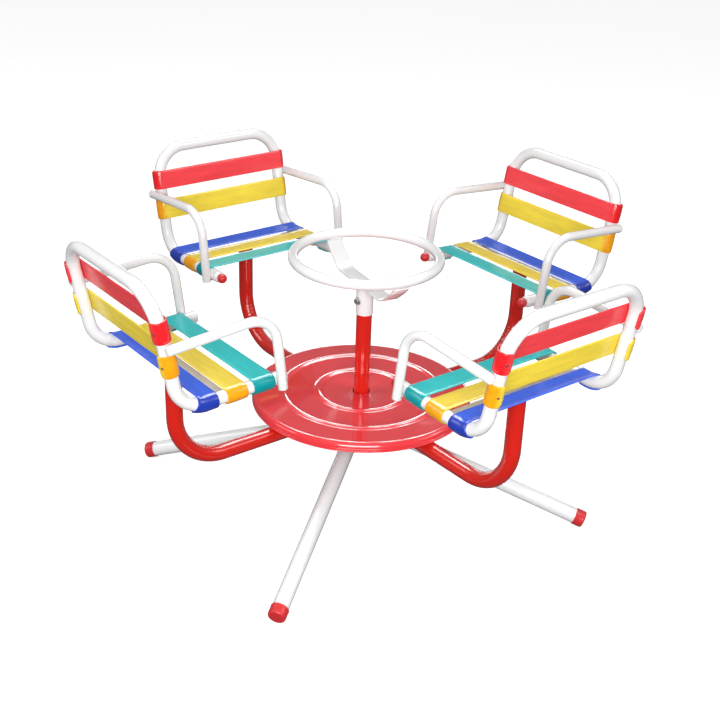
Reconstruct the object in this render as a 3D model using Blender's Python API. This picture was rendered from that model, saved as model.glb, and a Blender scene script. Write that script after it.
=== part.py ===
"""A four-seat garden merry-go-round of painted steel tube.

Units are metres, +Z is up, and the origin lies on the ground under the centre pole. The front is -Y.
The base, the pole and the hand wheel stand still. The disc, its four arms and the seats turn on the pole.
A seat is drawn once in its own axes: X outwards from the pole, Y along the seat, Z up from the disc's edge.
"""
import math

import bmesh
import bpy
from mathutils import Matrix, Vector

# Driving dimensions
GAP = 0.0003
DISC_RADIUS = 0.250
DISC_HEIGHT = 0.258
DISC_SHEET = 0.0025
MAIN_TUBE_RADIUS = 0.0175
SEAT_TUBE_RADIUS = 0.0135
ARMREST_TUBE_RADIUS = 0.010
STRAP_THICKNESS = 0.003

# Where the seats point, in degrees from +X, and the seat whose rail ends carry no ball caps
SEATS = {"front": 270.0, "right": 0.0, "rear": 90.0, "left": 180.0}
SEAT_WITHOUT_CAPS = "front"
SIDES = {"left": -1.0, "right": 1.0}

# Disc: ridges and rolled edge
DISC_CROWN = 0.004
POLE_HOLE_RADIUS = 0.0212
RIDGE_RADII = (0.102, 0.181)
RIDGE_HALF_WIDTH = 0.010
RIDGE_FLAT_SHARE = 0.3
RIDGE_HEIGHT = 0.0035
DISC_ROLL = 0.012
SKIRT_DEPTH = 0.018
SKIRT_TAPER = 0.0015

# Arms
ARM_REACH = 0.485
ARM_BEND = 0.115
ARM_CENTRE = -(SKIRT_DEPTH + GAP + MAIN_TUBE_RADIUS)

# Pole, hubs and bearing
POLE_RADIUS = 0.0175
BEARING_CLEARANCE = 0.0018
ROTOR_HUB_RADIUS = 0.027
ROTOR_HUB_FOOT = -0.0565
BASE_HUB_RADIUS = 0.034
BASE_HUB_TOP = ROTOR_HUB_FOOT - GAP
BASE_HUB_FOOT = -0.104

# Legs: where each points, in degrees from +X, and how far it reaches from the pole
LEGS = ((37.2, 0.535), (128.0, 0.533), (219.6, 0.531), (305.1, 0.547))
LEG_START_HEIGHT = -0.0704
LEG_ROOT = 0.020
LEG_END_HEIGHT = -0.2415
LEG_CAP_LENGTH = 0.0235
LEG_CAP_WALL = 0.0012
LEG_CAP_END = 0.005
LEG_CAP_SOFT = 0.003
LEG_SHORT_OF_REACH = 0.004

# Hand wheel
WHEEL_RADIUS = 0.160
WHEEL_TUBE_RADIUS = 0.0113
WHEEL_HEIGHT = 0.329
WHEEL_HUB_HEIGHT = 0.264
SOCKET_FOOT = 0.196
SOCKET_RADIUS = 0.0192
SPOKE_ANGLE = 169.0
SPOKE_WIDTH = 0.038
SPOKE_SHEET = 0.004
SPOKE_FLAT = 0.103
SPOKE_SHOULDER = 0.150
SPOKE_RISE = 0.037
CLAMP_ANGLE = 272.0
CLAMP_HEIGHT = 0.230
CLAMP_WASHER_RADIUS = 0.009
CLAMP_WASHER_SHEET = 0.0015
CLAMP_HEAD_RADIUS = 0.0075
CLAMP_HEAD_TOP = 0.007

# Seat frame
SEAT_HALF_WIDTH = 0.170
SEAT_FRONT = 0.330
SEAT_BACK = 0.5675
SEAT_HEIGHT = 0.2057
RAIL_SLOPE = math.radians(2.2)
BACK_LEAN = math.radians(11.0)
BACK_LENGTH = 0.2505
KNEE_BEND = 0.066
CORNER_BEND = 0.073
CROSSBAR_WIDTH = 0.044
CROSSBAR_TOP = 0.005
CROSSBAR_FOOT = 0.001
RAIL_END_ROUNDING = 0.0055
RAIL_BALL_RADIUS = 0.0115
RAIL_BALL_CENTRE = 0.0084

# Armrest
ARMREST_HEIGHT = 0.144
ARMREST_REAR_STUB = 0.008
ARMREST_RISE = math.radians(4.5)
ARMREST_FRONT = 0.372
ARMREST_BEND = 0.062
ARMREST_LEAN = math.radians(7.35)
ARMREST_FOOT = -0.013
ARMREST_END_ROUNDING = 0.004

# Straps: middle, as a distance along the frame's tube, and width. Seat straps are measured from the
# rail's front end, back straps down from the top of the upright
SEAT_STRAPS = {
    "seat_strap_teal": (0.057, 0.048),
    "seat_strap_yellow": (0.118, 0.046),
    "seat_strap_blue": (0.184, 0.048),
}
BACK_STRAPS = {"back_strap_yellow": (0.1445, 0.048), "back_strap_red": (0.0735, 0.045)}
STRAP_WRAP = math.radians(178.0)

# Colours, roughness and metallic value by material
MATERIALS = {
    "white_paint": ((0.86, 0.85, 0.84), 0.30, 0.0),
    "red_paint": ((0.58, 0.014, 0.008), 0.28, 0.0),
    "disc_enamel": ((0.84, 0.030, 0.045), 0.25, 0.0),
    "red_plastic": ((0.66, 0.05, 0.05), 0.40, 0.0),
    "red_vinyl": ((0.80, 0.035, 0.055), 0.30, 0.0),
    "yellow_vinyl": ((0.88, 0.52, 0.035), 0.30, 0.0),
    "blue_vinyl": ((0.035, 0.11, 0.78), 0.30, 0.0),
    "teal_vinyl": ((0.0, 0.50, 0.52), 0.30, 0.0),
    "zinc": ((0.45, 0.45, 0.46), 0.35, 1.0),
}

# How finely round shapes are drawn
BEND_STEPS = 7
ARM_BEND_STEPS = 9
WRAP_STEPS = 9
ROLL_STEPS = 4
BALL_STEPS = 6
TUBE_SIDES = 14
MAIN_TUBE_SIDES = 16
ARMREST_SIDES = 12
RAIL_CAP_SIDES = 10
HUB_SIDES = 32
POLE_SIDES = 24
WASHER_SIDES = 18
DISC_SIDES = 56
RIM_RINGS = 56
RIM_SIDES = 10
ON_AXIS = 1e-6
SHARP_EDGE = math.radians(40.0)
SHARPEST_FOLD = 0.5

# Cutting blocks and bores reach this far past what they cut
CUT_PAST = 0.05

# The lines of a seat, in its own axes
SEAT_CROSS = Vector((0.0, 1.0, 0.0))
RAIL = Vector((math.cos(RAIL_SLOPE), 0.0, -math.sin(RAIL_SLOPE)))
RAIL_UP = Vector((math.sin(RAIL_SLOPE), 0.0, math.cos(RAIL_SLOPE)))
BACK = Vector((math.sin(BACK_LEAN), 0.0, math.cos(BACK_LEAN)))
RAIL_END = Vector((SEAT_FRONT, 0.0, SEAT_HEIGHT))
KNEE = RAIL_END + RAIL * ((SEAT_BACK - SEAT_FRONT) / math.cos(RAIL_SLOPE))
BACK_TOP = KNEE + BACK * BACK_LENGTH
OVER_ARM = RAIL_END + RAIL * (ARM_REACH - SEAT_FRONT)


def clear_scene():
    for item in list(bpy.data.objects):
        bpy.data.objects.remove(item, do_unlink=True)


def material(name):
    """Return the named material, made on first use."""
    found = bpy.data.materials.get(name)
    if found:
        return found
    colour, roughness, metallic = MATERIALS[name]
    made = bpy.data.materials.new(name)
    made.use_nodes = True
    shader = made.node_tree.nodes["Principled BSDF"]
    shader.inputs["Base Color"].default_value = (*colour, 1.0)
    shader.inputs["Roughness"].default_value = roughness
    shader.inputs["Metallic"].default_value = metallic
    return made


def add_object(name, form, slot, parent=None, angle=0.0):
    """Turn a bmesh into a named object, turned about the pole and lifted to the disc's edge."""
    bmesh.ops.recalc_face_normals(form, faces=form.faces)
    mesh = bpy.data.meshes.new(name)
    form.to_mesh(mesh)
    form.free()
    mesh.materials.append(material(slot))
    mesh.polygons.foreach_set("use_smooth", [True] * len(mesh.polygons))
    mesh.set_sharp_from_angle(angle=SHARP_EDGE)
    item = bpy.data.objects.new(name, mesh)
    bpy.context.scene.collection.objects.link(item)
    item.parent = parent
    item.rotation_euler = (0.0, 0.0, math.radians(angle))
    if parent is None:
        item.location = (0.0, 0.0, DISC_HEIGHT)
    return item


def combine(item, other, operation):
    """Join or cut an object with a second form, which is then removed."""
    step = item.modifiers.new(operation.lower(), "BOOLEAN")
    step.operation = operation
    step.solver = "EXACT"
    step.object = other
    bpy.context.view_layer.update()
    graph = bpy.context.evaluated_depsgraph_get()
    result = bpy.data.meshes.new_from_object(item.evaluated_get(graph))
    item.modifiers.clear()
    old = item.data
    item.data = result
    result.name = old.name
    bpy.data.meshes.remove(old)
    bpy.data.objects.remove(other, do_unlink=True)


def bent_path(corners, bends, steps):
    """Round the inner corners of a line of points with arcs of the given radii."""
    points = [Vector(corners[0])]
    for before, corner, after, bend in zip(corners, corners[1:], corners[2:], bends):
        corner = Vector(corner)
        arrive = (corner - Vector(before)).normalized()
        leave = (Vector(after) - corner).normalized()
        turn = arrive.angle(leave)
        start = corner - arrive * bend * math.tan(turn / 2)
        side = (leave - arrive * arrive.dot(leave)).normalized()
        centre = start + side * bend
        for step in range(steps + 1):
            swing = turn * step / steps
            points.append(centre + arrive * bend * math.sin(swing) - side * bend * math.cos(swing))
    points.append(Vector(corners[-1]))
    return points


def rounded_end(end, inner, radius, rounding):
    """Points and radii that round off a bar's end, from the end inwards."""
    if not rounding:
        return [(end, radius)]
    inward = (inner - end).normalized()
    stations = []
    for swing in (math.pi / 2, math.pi / 4, 0.0):
        depth = rounding * (1 - math.sin(swing))
        stations.append((end + inward * depth, radius - rounding * (1 - math.cos(swing))))
    return stations


def rod(points, radius, sides, first_rounding=0.0, last_rounding=0.0):
    """Sweep a round bar along a path."""
    stations = rounded_end(points[0], points[1], radius, first_rounding)
    stations += [(point, radius) for point in points[1:-1]]
    stations += reversed(rounded_end(points[-1], points[-2], radius, last_rounding))
    form = bmesh.new()
    side = (points[1] - points[0]).normalized().orthogonal().normalized()
    rings = []
    for index, (point, size) in enumerate(stations):
        before = stations[max(index - 1, 0)][0]
        after = stations[min(index + 1, len(stations) - 1)][0]
        tangent = (after - before).normalized()
        side = (side - tangent * side.dot(tangent)).normalized()
        across = tangent.cross(side)
        ring = []
        for number in range(sides):
            swing = 2 * math.pi * (number + 0.5) / sides
            offset = side * size * math.cos(swing) + across * size * math.sin(swing)
            ring.append(form.verts.new(point + offset))
        rings.append(ring)
    for first, second in zip(rings, rings[1:]):
        for index in range(sides):
            after = (index + 1) % sides
            form.faces.new((first[index], first[after], second[after], second[index]))
    form.faces.new(list(reversed(rings[0])))
    form.faces.new(rings[-1])
    return form


def turned(profile, sides, closed=True):
    """Revolve a profile of (radius, height) about Z. An open profile starts and ends on the axis."""
    form = bmesh.new()
    rings = []
    for radius, height in profile:
        if radius < ON_AXIS:
            rings.append([form.verts.new((0.0, 0.0, height))])
            continue
        ring = []
        for index in range(sides):
            swing = 2 * math.pi * (index + 0.5) / sides
            ring.append(form.verts.new((radius * math.cos(swing), radius * math.sin(swing), height)))
        rings.append(ring)
    pairs = list(zip(rings, rings[1:]))
    if closed:
        pairs.append((rings[-1], rings[0]))
    for first, second in pairs:
        for index in range(sides):
            after = (index + 1) % sides
            if len(first) == 1:
                form.faces.new((first[0], second[after], second[index]))
            elif len(second) == 1:
                form.faces.new((first[index], first[after], second[0]))
            else:
                form.faces.new((first[index], first[after], second[after], second[index]))
    return form


def cylinder(radius, foot, top, sides=HUB_SIDES):
    """An upright cylinder on the Z axis."""
    return turned([(0.0, foot), (radius, foot), (radius, top), (0.0, top)], sides, closed=False)


def extruded(outline, origin, across, up, along, length):
    """Extrude a flat outline of (across, up) points by a length centred on the origin."""
    form = bmesh.new()
    ends = []
    for offset in (-length / 2, length / 2):
        ends.append([form.verts.new(origin + across * a + up * b + along * offset) for a, b in outline])
    near, far = ends
    form.faces.new(near)
    form.faces.new(list(reversed(far)))
    for index in range(len(outline)):
        after = (index + 1) % len(outline)
        form.faces.new((near[index], near[after], far[after], far[index]))
    return form


def ribbon(line, thickness):
    """Give a flat line of (a, b) points a thickness to its right-hand side."""
    offset = []
    for index, (a, b) in enumerate(line):
        before = Vector(line[max(index - 1, 0)])
        after = Vector(line[min(index + 1, len(line) - 1)])
        arrive = (Vector((a, b)) - before).normalized() if index else None
        leave = (after - Vector((a, b))).normalized() if index < len(line) - 1 else None
        arrive = arrive or leave
        leave = leave or arrive
        middle = (arrive + leave).normalized()
        reach = thickness / max(middle.dot(arrive), SHARPEST_FOLD)
        offset.append((a + middle.y * reach, b - middle.x * reach))
    return list(line) + offset[::-1]


def seat_frame(place, angle, rotor):
    """One tube with two side rails, two uprights and a rounded top. The flat crossbar between its rails
    stands on the arm."""
    left = SEAT_CROSS * SEAT_HALF_WIDTH
    corners = [RAIL_END + left, KNEE + left, BACK_TOP + left, BACK_TOP - left, KNEE - left, RAIL_END - left]
    path = bent_path(corners, (KNEE_BEND, CORNER_BEND, CORNER_BEND, KNEE_BEND), BEND_STEPS)
    tube = rod(path, SEAT_TUBE_RADIUS, TUBE_SIDES, RAIL_END_ROUNDING, RAIL_END_ROUNDING)
    frame = add_object("seat_frame_" + place, tube, "white_paint", rotor, angle)
    half = CROSSBAR_WIDTH / 2
    outline = [(-half, CROSSBAR_FOOT), (half, CROSSBAR_FOOT), (half, CROSSBAR_TOP), (-half, CROSSBAR_TOP)]
    crossbar = extruded(outline, OVER_ARM, RAIL, RAIL_UP, SEAT_CROSS, 2 * SEAT_HALF_WIDTH)
    combine(frame, add_object("crossbar", crossbar, "white_paint", rotor, angle), "UNION")


def strap_outline():
    """A band over both tubes of the seat frame, carried round their outer sides and under them."""
    inner = SEAT_TUBE_RADIUS + GAP
    outer = inner + STRAP_THICKNESS
    outside = []
    inside = []
    for step in range(WRAP_STEPS + 1):
        swing = math.pi / 2 - STRAP_WRAP * (1 - step / WRAP_STEPS)
        outside.append((SEAT_HALF_WIDTH + outer * math.cos(swing), outer * math.sin(swing)))
        inside.append((SEAT_HALF_WIDTH + inner * math.cos(swing), inner * math.sin(swing)))
    mirrored_outside = [(-a, b) for a, b in reversed(outside)]
    mirrored_inside = [(-a, b) for a, b in reversed(inside)]
    return outside + mirrored_outside + mirrored_inside[::-1] + inside[::-1]


def side_line():
    """The middle line of one side of the frame, from the rail's front end to the top of the upright."""
    return bent_path([RAIL_END, KNEE, BACK_TOP], (KNEE_BEND,), BEND_STEPS)


def line_length(points):
    return sum((after - before).length for before, after in zip(points, points[1:]))


def strap_sections(first, last):
    """Places and directions across which a strap is drawn, so that it follows the tube round its bend."""
    points = side_line()
    sections = []
    walked = 0.0
    for index in range(len(points) - 1):
        step = points[index + 1] - points[index]
        if index and first < walked < last:
            sections.append((points[index], (points[index + 1] - points[index - 1]).normalized()))
        for mark in (first, last):
            if walked <= mark < walked + step.length:
                sections.append((points[index] + step.normalized() * (mark - walked), step.normalized()))
        walked += step.length
    return sections


def strap(name, place, angle, rotor, middle, width):
    """A vinyl strap round both tubes of the frame, on the side that faces the child."""
    form = bmesh.new()
    rings = []
    for point, along in strap_sections(middle - width / 2, middle + width / 2):
        facing = Vector((-along.z, 0.0, along.x))
        rings.append([form.verts.new(point + SEAT_CROSS * a + facing * b) for a, b in strap_outline()])
    for first, second in zip(rings, rings[1:]):
        for index in range(len(first)):
            after = (index + 1) % len(first)
            form.faces.new((first[index], first[after], second[after], second[index]))
    form.faces.new(list(reversed(rings[0])))
    form.faces.new(rings[-1])
    slot = name.split("_")[-1] + "_vinyl"
    add_object(name + "_" + place, form, slot, rotor, angle)


def seat_straps(place, angle, rotor):
    length = line_length(side_line())
    for name, (middle, width) in SEAT_STRAPS.items():
        strap(name, place, angle, rotor, middle, width)
    for name, (middle, width) in BACK_STRAPS.items():
        strap(name, place, angle, rotor, length - middle, width)


def armrest(side, place, angle, rotor):
    """A bent rod bolted to the outer side of the upright and of the rail's front end."""
    offset = SIDES[side] * (SEAT_HALF_WIDTH + SEAT_TUBE_RADIUS + GAP + ARMREST_TUBE_RADIUS)
    joint = KNEE + BACK * ARMREST_HEIGHT
    rear = joint + Vector((ARMREST_REAR_STUB, offset, 0.0))
    length = (joint.x - ARMREST_FRONT) / math.cos(ARMREST_RISE)
    bend = joint + Vector((-math.cos(ARMREST_RISE), 0.0, math.sin(ARMREST_RISE))) * length
    bend.y = offset
    drop = bend.z - (SEAT_HEIGHT + ARMREST_FOOT)
    foot = bend + Vector((-math.tan(ARMREST_LEAN) * drop, 0.0, -drop))
    path = bent_path([rear, bend, foot], (ARMREST_BEND,), BEND_STEPS)
    form = rod(path, ARMREST_TUBE_RADIUS, ARMREST_SIDES, ARMREST_END_ROUNDING)
    add_object("armrest_" + side + "_" + place, form, "white_paint", rotor, angle)


def rail_cap(side, place, angle, rotor):
    """A plastic ball on the front end of a side rail, flat where it sits on the tube's end."""
    seat = -math.asin((RAIL_BALL_CENTRE - GAP) / RAIL_BALL_RADIUS)
    profile = [(0.0, GAP)]
    for step in range(BALL_STEPS + 1):
        swing = seat + (math.pi / 2 - seat) * step / BALL_STEPS
        height = RAIL_BALL_CENTRE + RAIL_BALL_RADIUS * math.sin(swing)
        profile.append((RAIL_BALL_RADIUS * math.cos(swing), height))
    form = turned(profile, RAIL_CAP_SIDES, closed=False)
    turn = (-RAIL).to_track_quat("Z", "Y").to_matrix().to_4x4()
    place_at = Matrix.Translation(RAIL_END + SEAT_CROSS * SIDES[side] * SEAT_HALF_WIDTH)
    bmesh.ops.transform(form, matrix=place_at @ turn, verts=form.verts)
    add_object("rail_cap_" + side + "_" + place, form, "red_plastic", rotor, angle)


def arm(place, angle, rotor):
    """A bent tube from the rotor hub, under the disc and up to the crossbar of the seat frame."""
    top = OVER_ARM + RAIL_UP * (CROSSBAR_FOOT - GAP)
    past_top = 0.004
    corners = [(0.0, 0.0, ARM_CENTRE), (ARM_REACH, 0.0, ARM_CENTRE), (ARM_REACH, 0.0, top.z + past_top)]
    path = bent_path(corners, (ARM_BEND,), ARM_BEND_STEPS)
    tube = rod(path, MAIN_TUBE_RADIUS, MAIN_TUBE_SIDES)
    item = add_object("arm_" + place, tube, "red_paint", rotor, angle)
    block = 2 * MAIN_TUBE_RADIUS
    outline = [(-block, 0.0), (block, 0.0), (block, block), (-block, block)]
    slanted = extruded(outline, top, SEAT_CROSS, RAIL_UP, RAIL, 2 * block)
    combine(item, add_object("top_cut", slanted, "red_paint", rotor, angle), "DIFFERENCE")
    hub = cylinder(ROTOR_HUB_RADIUS + GAP, ROTOR_HUB_FOOT - CUT_PAST, DISC_CROWN)
    combine(item, add_object("hub_cut", hub, "red_paint", rotor), "DIFFERENCE")


def disc(rotor):
    """A pressed steel disc with two raised rings and a rolled edge, open in the middle for the pole."""
    line = [(POLE_HOLE_RADIUS, DISC_CROWN)]
    for radius in RIDGE_RADII:
        for offset, height in ((-1.0, 0.0), (-RIDGE_FLAT_SHARE, 1.0), (RIDGE_FLAT_SHARE, 1.0), (1.0, 0.0)):
            line.append((radius + offset * RIDGE_HALF_WIDTH, DISC_CROWN + height * RIDGE_HEIGHT))
    for step in range(ROLL_STEPS + 1):
        swing = math.pi / 2 * (1 - step / ROLL_STEPS)
        radius = DISC_RADIUS - DISC_ROLL + DISC_ROLL * math.cos(swing)
        line.append((radius, DISC_CROWN - DISC_ROLL + DISC_ROLL * math.sin(swing)))
    line.append((DISC_RADIUS - SKIRT_TAPER, -SKIRT_DEPTH))
    add_object("disc", turned(ribbon(line, DISC_SHEET), DISC_SIDES), "disc_enamel", rotor)


def sleeve(inner, outer, foot, top):
    """An upright tube round the pole axis."""
    return turned([(inner, foot), (outer, foot), (outer, top), (inner, top)], HUB_SIDES)


def rotor_hub(rotor):
    """The bearing sleeve that the arms are welded to. It carries the disc and runs on the base hub."""
    top = DISC_CROWN - DISC_SHEET - GAP
    form = sleeve(POLE_RADIUS + BEARING_CLEARANCE, ROTOR_HUB_RADIUS, ROTOR_HUB_FOOT, top)
    add_object("rotor_hub", form, "red_paint", rotor)


def leg_line(angle, reach):
    """The leg's direction, and the middle of its tube's outer end, inside its cap."""
    swing = math.radians(angle)
    outer = Vector((reach * math.cos(swing), reach * math.sin(swing), LEG_END_HEIGHT))
    direction = (outer - Vector((0.0, 0.0, LEG_START_HEIGHT))).normalized()
    return direction, outer - direction * LEG_SHORT_OF_REACH


def base_frame():
    """The fixed hub with its four sloping legs welded on and a bore for the pole."""
    hub = cylinder(BASE_HUB_RADIUS, BASE_HUB_FOOT, BASE_HUB_TOP)
    base = add_object("base_frame", hub, "white_paint")
    for angle, reach in LEGS:
        direction, end = leg_line(angle, reach)
        start = Vector((0.0, 0.0, LEG_START_HEIGHT)) + direction * LEG_ROOT
        leg = add_object("leg", rod([start, end], MAIN_TUBE_RADIUS, MAIN_TUBE_SIDES), "white_paint")
        combine(base, leg, "UNION")
    bore = cylinder(POLE_RADIUS + GAP, BASE_HUB_FOOT - CUT_PAST, BASE_HUB_TOP + CUT_PAST)
    combine(base, add_object("bore", bore, "white_paint"), "DIFFERENCE")


def leg_cap(number, angle, reach):
    """A plastic cup over a leg's end, worn flat where it stands on the ground."""
    direction, end = leg_line(angle, reach)
    inner = (MAIN_TUBE_RADIUS + GAP) / math.cos(math.pi / MAIN_TUBE_SIDES)
    outer = inner + LEG_CAP_WALL
    rim = LEG_CAP_END - LEG_CAP_LENGTH
    profile = [(0.0, GAP), (inner, GAP), (inner, rim), (outer, rim), (outer, LEG_CAP_END - LEG_CAP_SOFT),
               (outer - LEG_CAP_SOFT, LEG_CAP_END), (0.0, LEG_CAP_END)]
    form = turned(profile, MAIN_TUBE_SIDES, closed=False)
    turn = direction.to_track_quat("Z", "Y").to_matrix().to_4x4()
    bmesh.ops.transform(form, matrix=Matrix.Translation(end) @ turn, verts=form.verts)
    cap = add_object("leg_cap_" + str(number), form, "red_plastic")
    ground = bmesh.new()
    block = 2.0
    bmesh.ops.create_cube(ground, size=block)
    bmesh.ops.translate(ground, verts=ground.verts, vec=(0.0, 0.0, -block / 2 - DISC_HEIGHT))
    combine(cap, add_object("ground_cut", ground, "red_plastic"), "DIFFERENCE")


def pole():
    """The fixed centre pole, from the base hub up into the hand wheel's socket."""
    top = WHEEL_HUB_HEIGHT - GAP
    ends = [Vector((0.0, 0.0, BASE_HUB_FOOT)), Vector((0.0, 0.0, top))]
    add_object("pole", rod(ends, POLE_RADIUS, POLE_SIDES), "red_paint")


def wheel_rim():
    form = bmesh.new()
    loops = []
    for index in range(RIM_RINGS):
        swing = 2 * math.pi * index / RIM_RINGS
        ring = []
        for side in range(RIM_SIDES):
            turn = 2 * math.pi * (side + 0.5) / RIM_SIDES
            radius = WHEEL_RADIUS + WHEEL_TUBE_RADIUS * math.cos(turn)
            height = WHEEL_HEIGHT + WHEEL_TUBE_RADIUS * math.sin(turn)
            ring.append(form.verts.new((radius * math.cos(swing), radius * math.sin(swing), height)))
        loops.append(ring)
    for index in range(RIM_RINGS):
        first = loops[index]
        second = loops[(index + 1) % RIM_RINGS]
        for side in range(RIM_SIDES):
            after = (side + 1) % RIM_SIDES
            form.faces.new((first[side], first[after], second[after], second[side]))
    add_object("wheel_rim", form, "white_paint")


def wheel_spoke():
    """A flat strip across the wheel, low in the middle and bent up to the rim at both ends."""
    low = WHEEL_HUB_HEIGHT + GAP + SPOKE_SHEET
    high = WHEEL_HEIGHT - WHEEL_TUBE_RADIUS - GAP
    half = [(SPOKE_FLAT, low), (SPOKE_SHOULDER, low + SPOKE_RISE), (WHEEL_RADIUS, high)]
    line = [(-a, b) for a, b in reversed(half)] + half
    outline = ribbon(line, SPOKE_SHEET)
    middle = Vector((0.0, 0.0, 0.0))
    outwards = Vector((1.0, 0.0, 0.0))
    upwards = Vector((0.0, 0.0, 1.0))
    form = extruded(outline, middle, outwards, upwards, SEAT_CROSS, SPOKE_WIDTH)
    add_object("wheel_spoke", form, "white_paint", None, SPOKE_ANGLE)


def wheel_socket():
    """The tube under the wheel that slips over the pole."""
    form = sleeve(POLE_RADIUS + GAP, SOCKET_RADIUS, SOCKET_FOOT, WHEEL_HUB_HEIGHT)
    add_object("wheel_socket", form, "white_paint")


def clamp_bolt():
    """The bolt that clamps the socket to the pole: a washer and a hexagon head."""
    washer = cylinder(CLAMP_WASHER_RADIUS, 0.0, CLAMP_WASHER_SHEET, WASHER_SIDES)
    hexagon_sides = 6
    head = cylinder(CLAMP_HEAD_RADIUS, CLAMP_WASHER_SHEET / 2, CLAMP_HEAD_TOP, hexagon_sides)
    place_at = Matrix.Translation((SOCKET_RADIUS + GAP, 0.0, CLAMP_HEIGHT)) @ Matrix.Rotation(math.pi / 2, 4, "Y")
    for form in (washer, head):
        bmesh.ops.transform(form, matrix=place_at, verts=form.verts)
    bolt = add_object("clamp_bolt", washer, "zinc", None, CLAMP_ANGLE)
    combine(bolt, add_object("bolt_head", head, "zinc", None, CLAMP_ANGLE), "UNION")


def build():
    clear_scene()
    rotor = bpy.data.objects.new("rotor", None)
    bpy.context.scene.collection.objects.link(rotor)
    rotor.location = (0.0, 0.0, DISC_HEIGHT)
    base_frame()
    for number, (angle, reach) in enumerate(LEGS, start=1):
        leg_cap(number, angle, reach)
    pole()
    wheel_socket()
    clamp_bolt()
    wheel_spoke()
    wheel_rim()
    rotor_hub(rotor)
    disc(rotor)
    for place, angle in SEATS.items():
        arm(place, angle, rotor)
        seat_frame(place, angle, rotor)
        seat_straps(place, angle, rotor)
        for side in SIDES:
            armrest(side, place, angle, rotor)
            if place != SEAT_WITHOUT_CAPS:
                rail_cap(side, place, angle, rotor)


build()
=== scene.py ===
"""The looks of a four-seat garden merry-go-round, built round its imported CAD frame.

Everything is in metres. +Z is up, and the origin lies on the ground under the centre pole.
A seat and its arm are drawn once in the seat's own axes: X outwards from the pole, Y along the seat,
Z up from the edge of the disc. They are then turned to their four places.
"""
import math

import bmesh
import bpy
from mathutils import Matrix, Vector, noise


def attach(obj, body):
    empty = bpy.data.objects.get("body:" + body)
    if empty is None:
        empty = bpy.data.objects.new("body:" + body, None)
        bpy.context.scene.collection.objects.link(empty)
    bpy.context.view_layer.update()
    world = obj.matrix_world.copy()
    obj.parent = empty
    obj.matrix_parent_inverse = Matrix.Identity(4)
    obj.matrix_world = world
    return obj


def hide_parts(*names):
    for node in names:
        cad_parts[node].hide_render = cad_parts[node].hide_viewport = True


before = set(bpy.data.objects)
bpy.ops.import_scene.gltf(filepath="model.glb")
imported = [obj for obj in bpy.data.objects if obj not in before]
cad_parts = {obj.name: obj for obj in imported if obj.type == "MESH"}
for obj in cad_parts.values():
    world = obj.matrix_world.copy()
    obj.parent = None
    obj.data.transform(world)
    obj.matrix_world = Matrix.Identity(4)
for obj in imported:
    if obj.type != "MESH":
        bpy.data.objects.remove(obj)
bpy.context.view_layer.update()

# Sizes shared with the CAD model
GAP = 0.0003
DISC_RADIUS = 0.250
DISC_HEIGHT = 0.258
DISC_SHEET = 0.002
DISC_CROWN = 0.004
POLE_HOLE_RADIUS = 0.0212
RIDGE_RADII = (0.102, 0.181)
RIDGE_HALF_WIDTH = 0.010
RIDGE_HEIGHT = 0.0035
SKIRT_DEPTH = 0.018
MAIN_TUBE_RADIUS = 0.0175
SEAT_TUBE_RADIUS = 0.0135
ARMREST_TUBE_RADIUS = 0.010
STRAP_THICKNESS = 0.003
SEATS = {"front": 270.0, "right": 0.0, "rear": 90.0, "left": 180.0}
SEAT_WITHOUT_CAPS = "front"
SIDES = {"left": -1.0, "right": 1.0}
LEGS = ((37.2, 0.535), (128.0, 0.533), (219.6, 0.531), (305.1, 0.547))
ARM_REACH = 0.485
ARM_BEND = 0.115
ARM_CENTRE = -(SKIRT_DEPTH + GAP + MAIN_TUBE_RADIUS)
POLE_RADIUS = 0.0175
BEARING_CLEARANCE = 0.0018
ROTOR_HUB_RADIUS = 0.027
ROTOR_HUB_FOOT = -0.0565
ROTOR_HUB_TOP = DISC_CROWN - 0.0025 - GAP
BASE_HUB_RADIUS = 0.034
BASE_HUB_TOP = ROTOR_HUB_FOOT - GAP
BASE_HUB_FOOT = -0.104
LEG_START_HEIGHT = -0.0704
LEG_END_HEIGHT = -0.2415
LEG_SHORT_OF_REACH = 0.004
LEG_CAP_LENGTH = 0.0235
LEG_CAP_WALL = 0.0014
LEG_CAP_END = 0.005
WHEEL_RADIUS = 0.160
WHEEL_TUBE_RADIUS = 0.0113
WHEEL_HEIGHT = 0.329
WHEEL_HUB_HEIGHT = 0.264
SOCKET_FOOT = 0.196
SOCKET_RADIUS = 0.0192
SPOKE_ANGLE = 169.0
SPOKE_WIDTH = 0.038
SPOKE_SHEET = 0.004
SPOKE_FLAT = 0.103
SPOKE_SHOULDER = 0.150
SPOKE_RISE = 0.037
CLAMP_ANGLE = 272.0
CLAMP_HEIGHT = 0.230
SEAT_HALF_WIDTH = 0.170
SEAT_FRONT = 0.330
SEAT_BACK = 0.5675
SEAT_HEIGHT = 0.2057
RAIL_SLOPE = math.radians(2.2)
BACK_LEAN = math.radians(11.0)
BACK_LENGTH = 0.2505
KNEE_BEND = 0.066
CORNER_BEND = 0.073
CROSSBAR_WIDTH = 0.044
CROSSBAR_TOP = 0.005
CROSSBAR_FOOT = 0.001
RAIL_END_ROUNDING = 0.0055
RAIL_BALL_RADIUS = 0.0115
RAIL_BALL_CENTRE = 0.0084
ARMREST_HEIGHT = 0.144
ARMREST_REAR_STUB = 0.008
ARMREST_RISE = math.radians(4.5)
ARMREST_FRONT = 0.372
ARMREST_BEND = 0.062
ARMREST_LEAN = math.radians(7.35)
ARMREST_FOOT = -0.013
ARMREST_END_ROUNDING = 0.004

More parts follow.
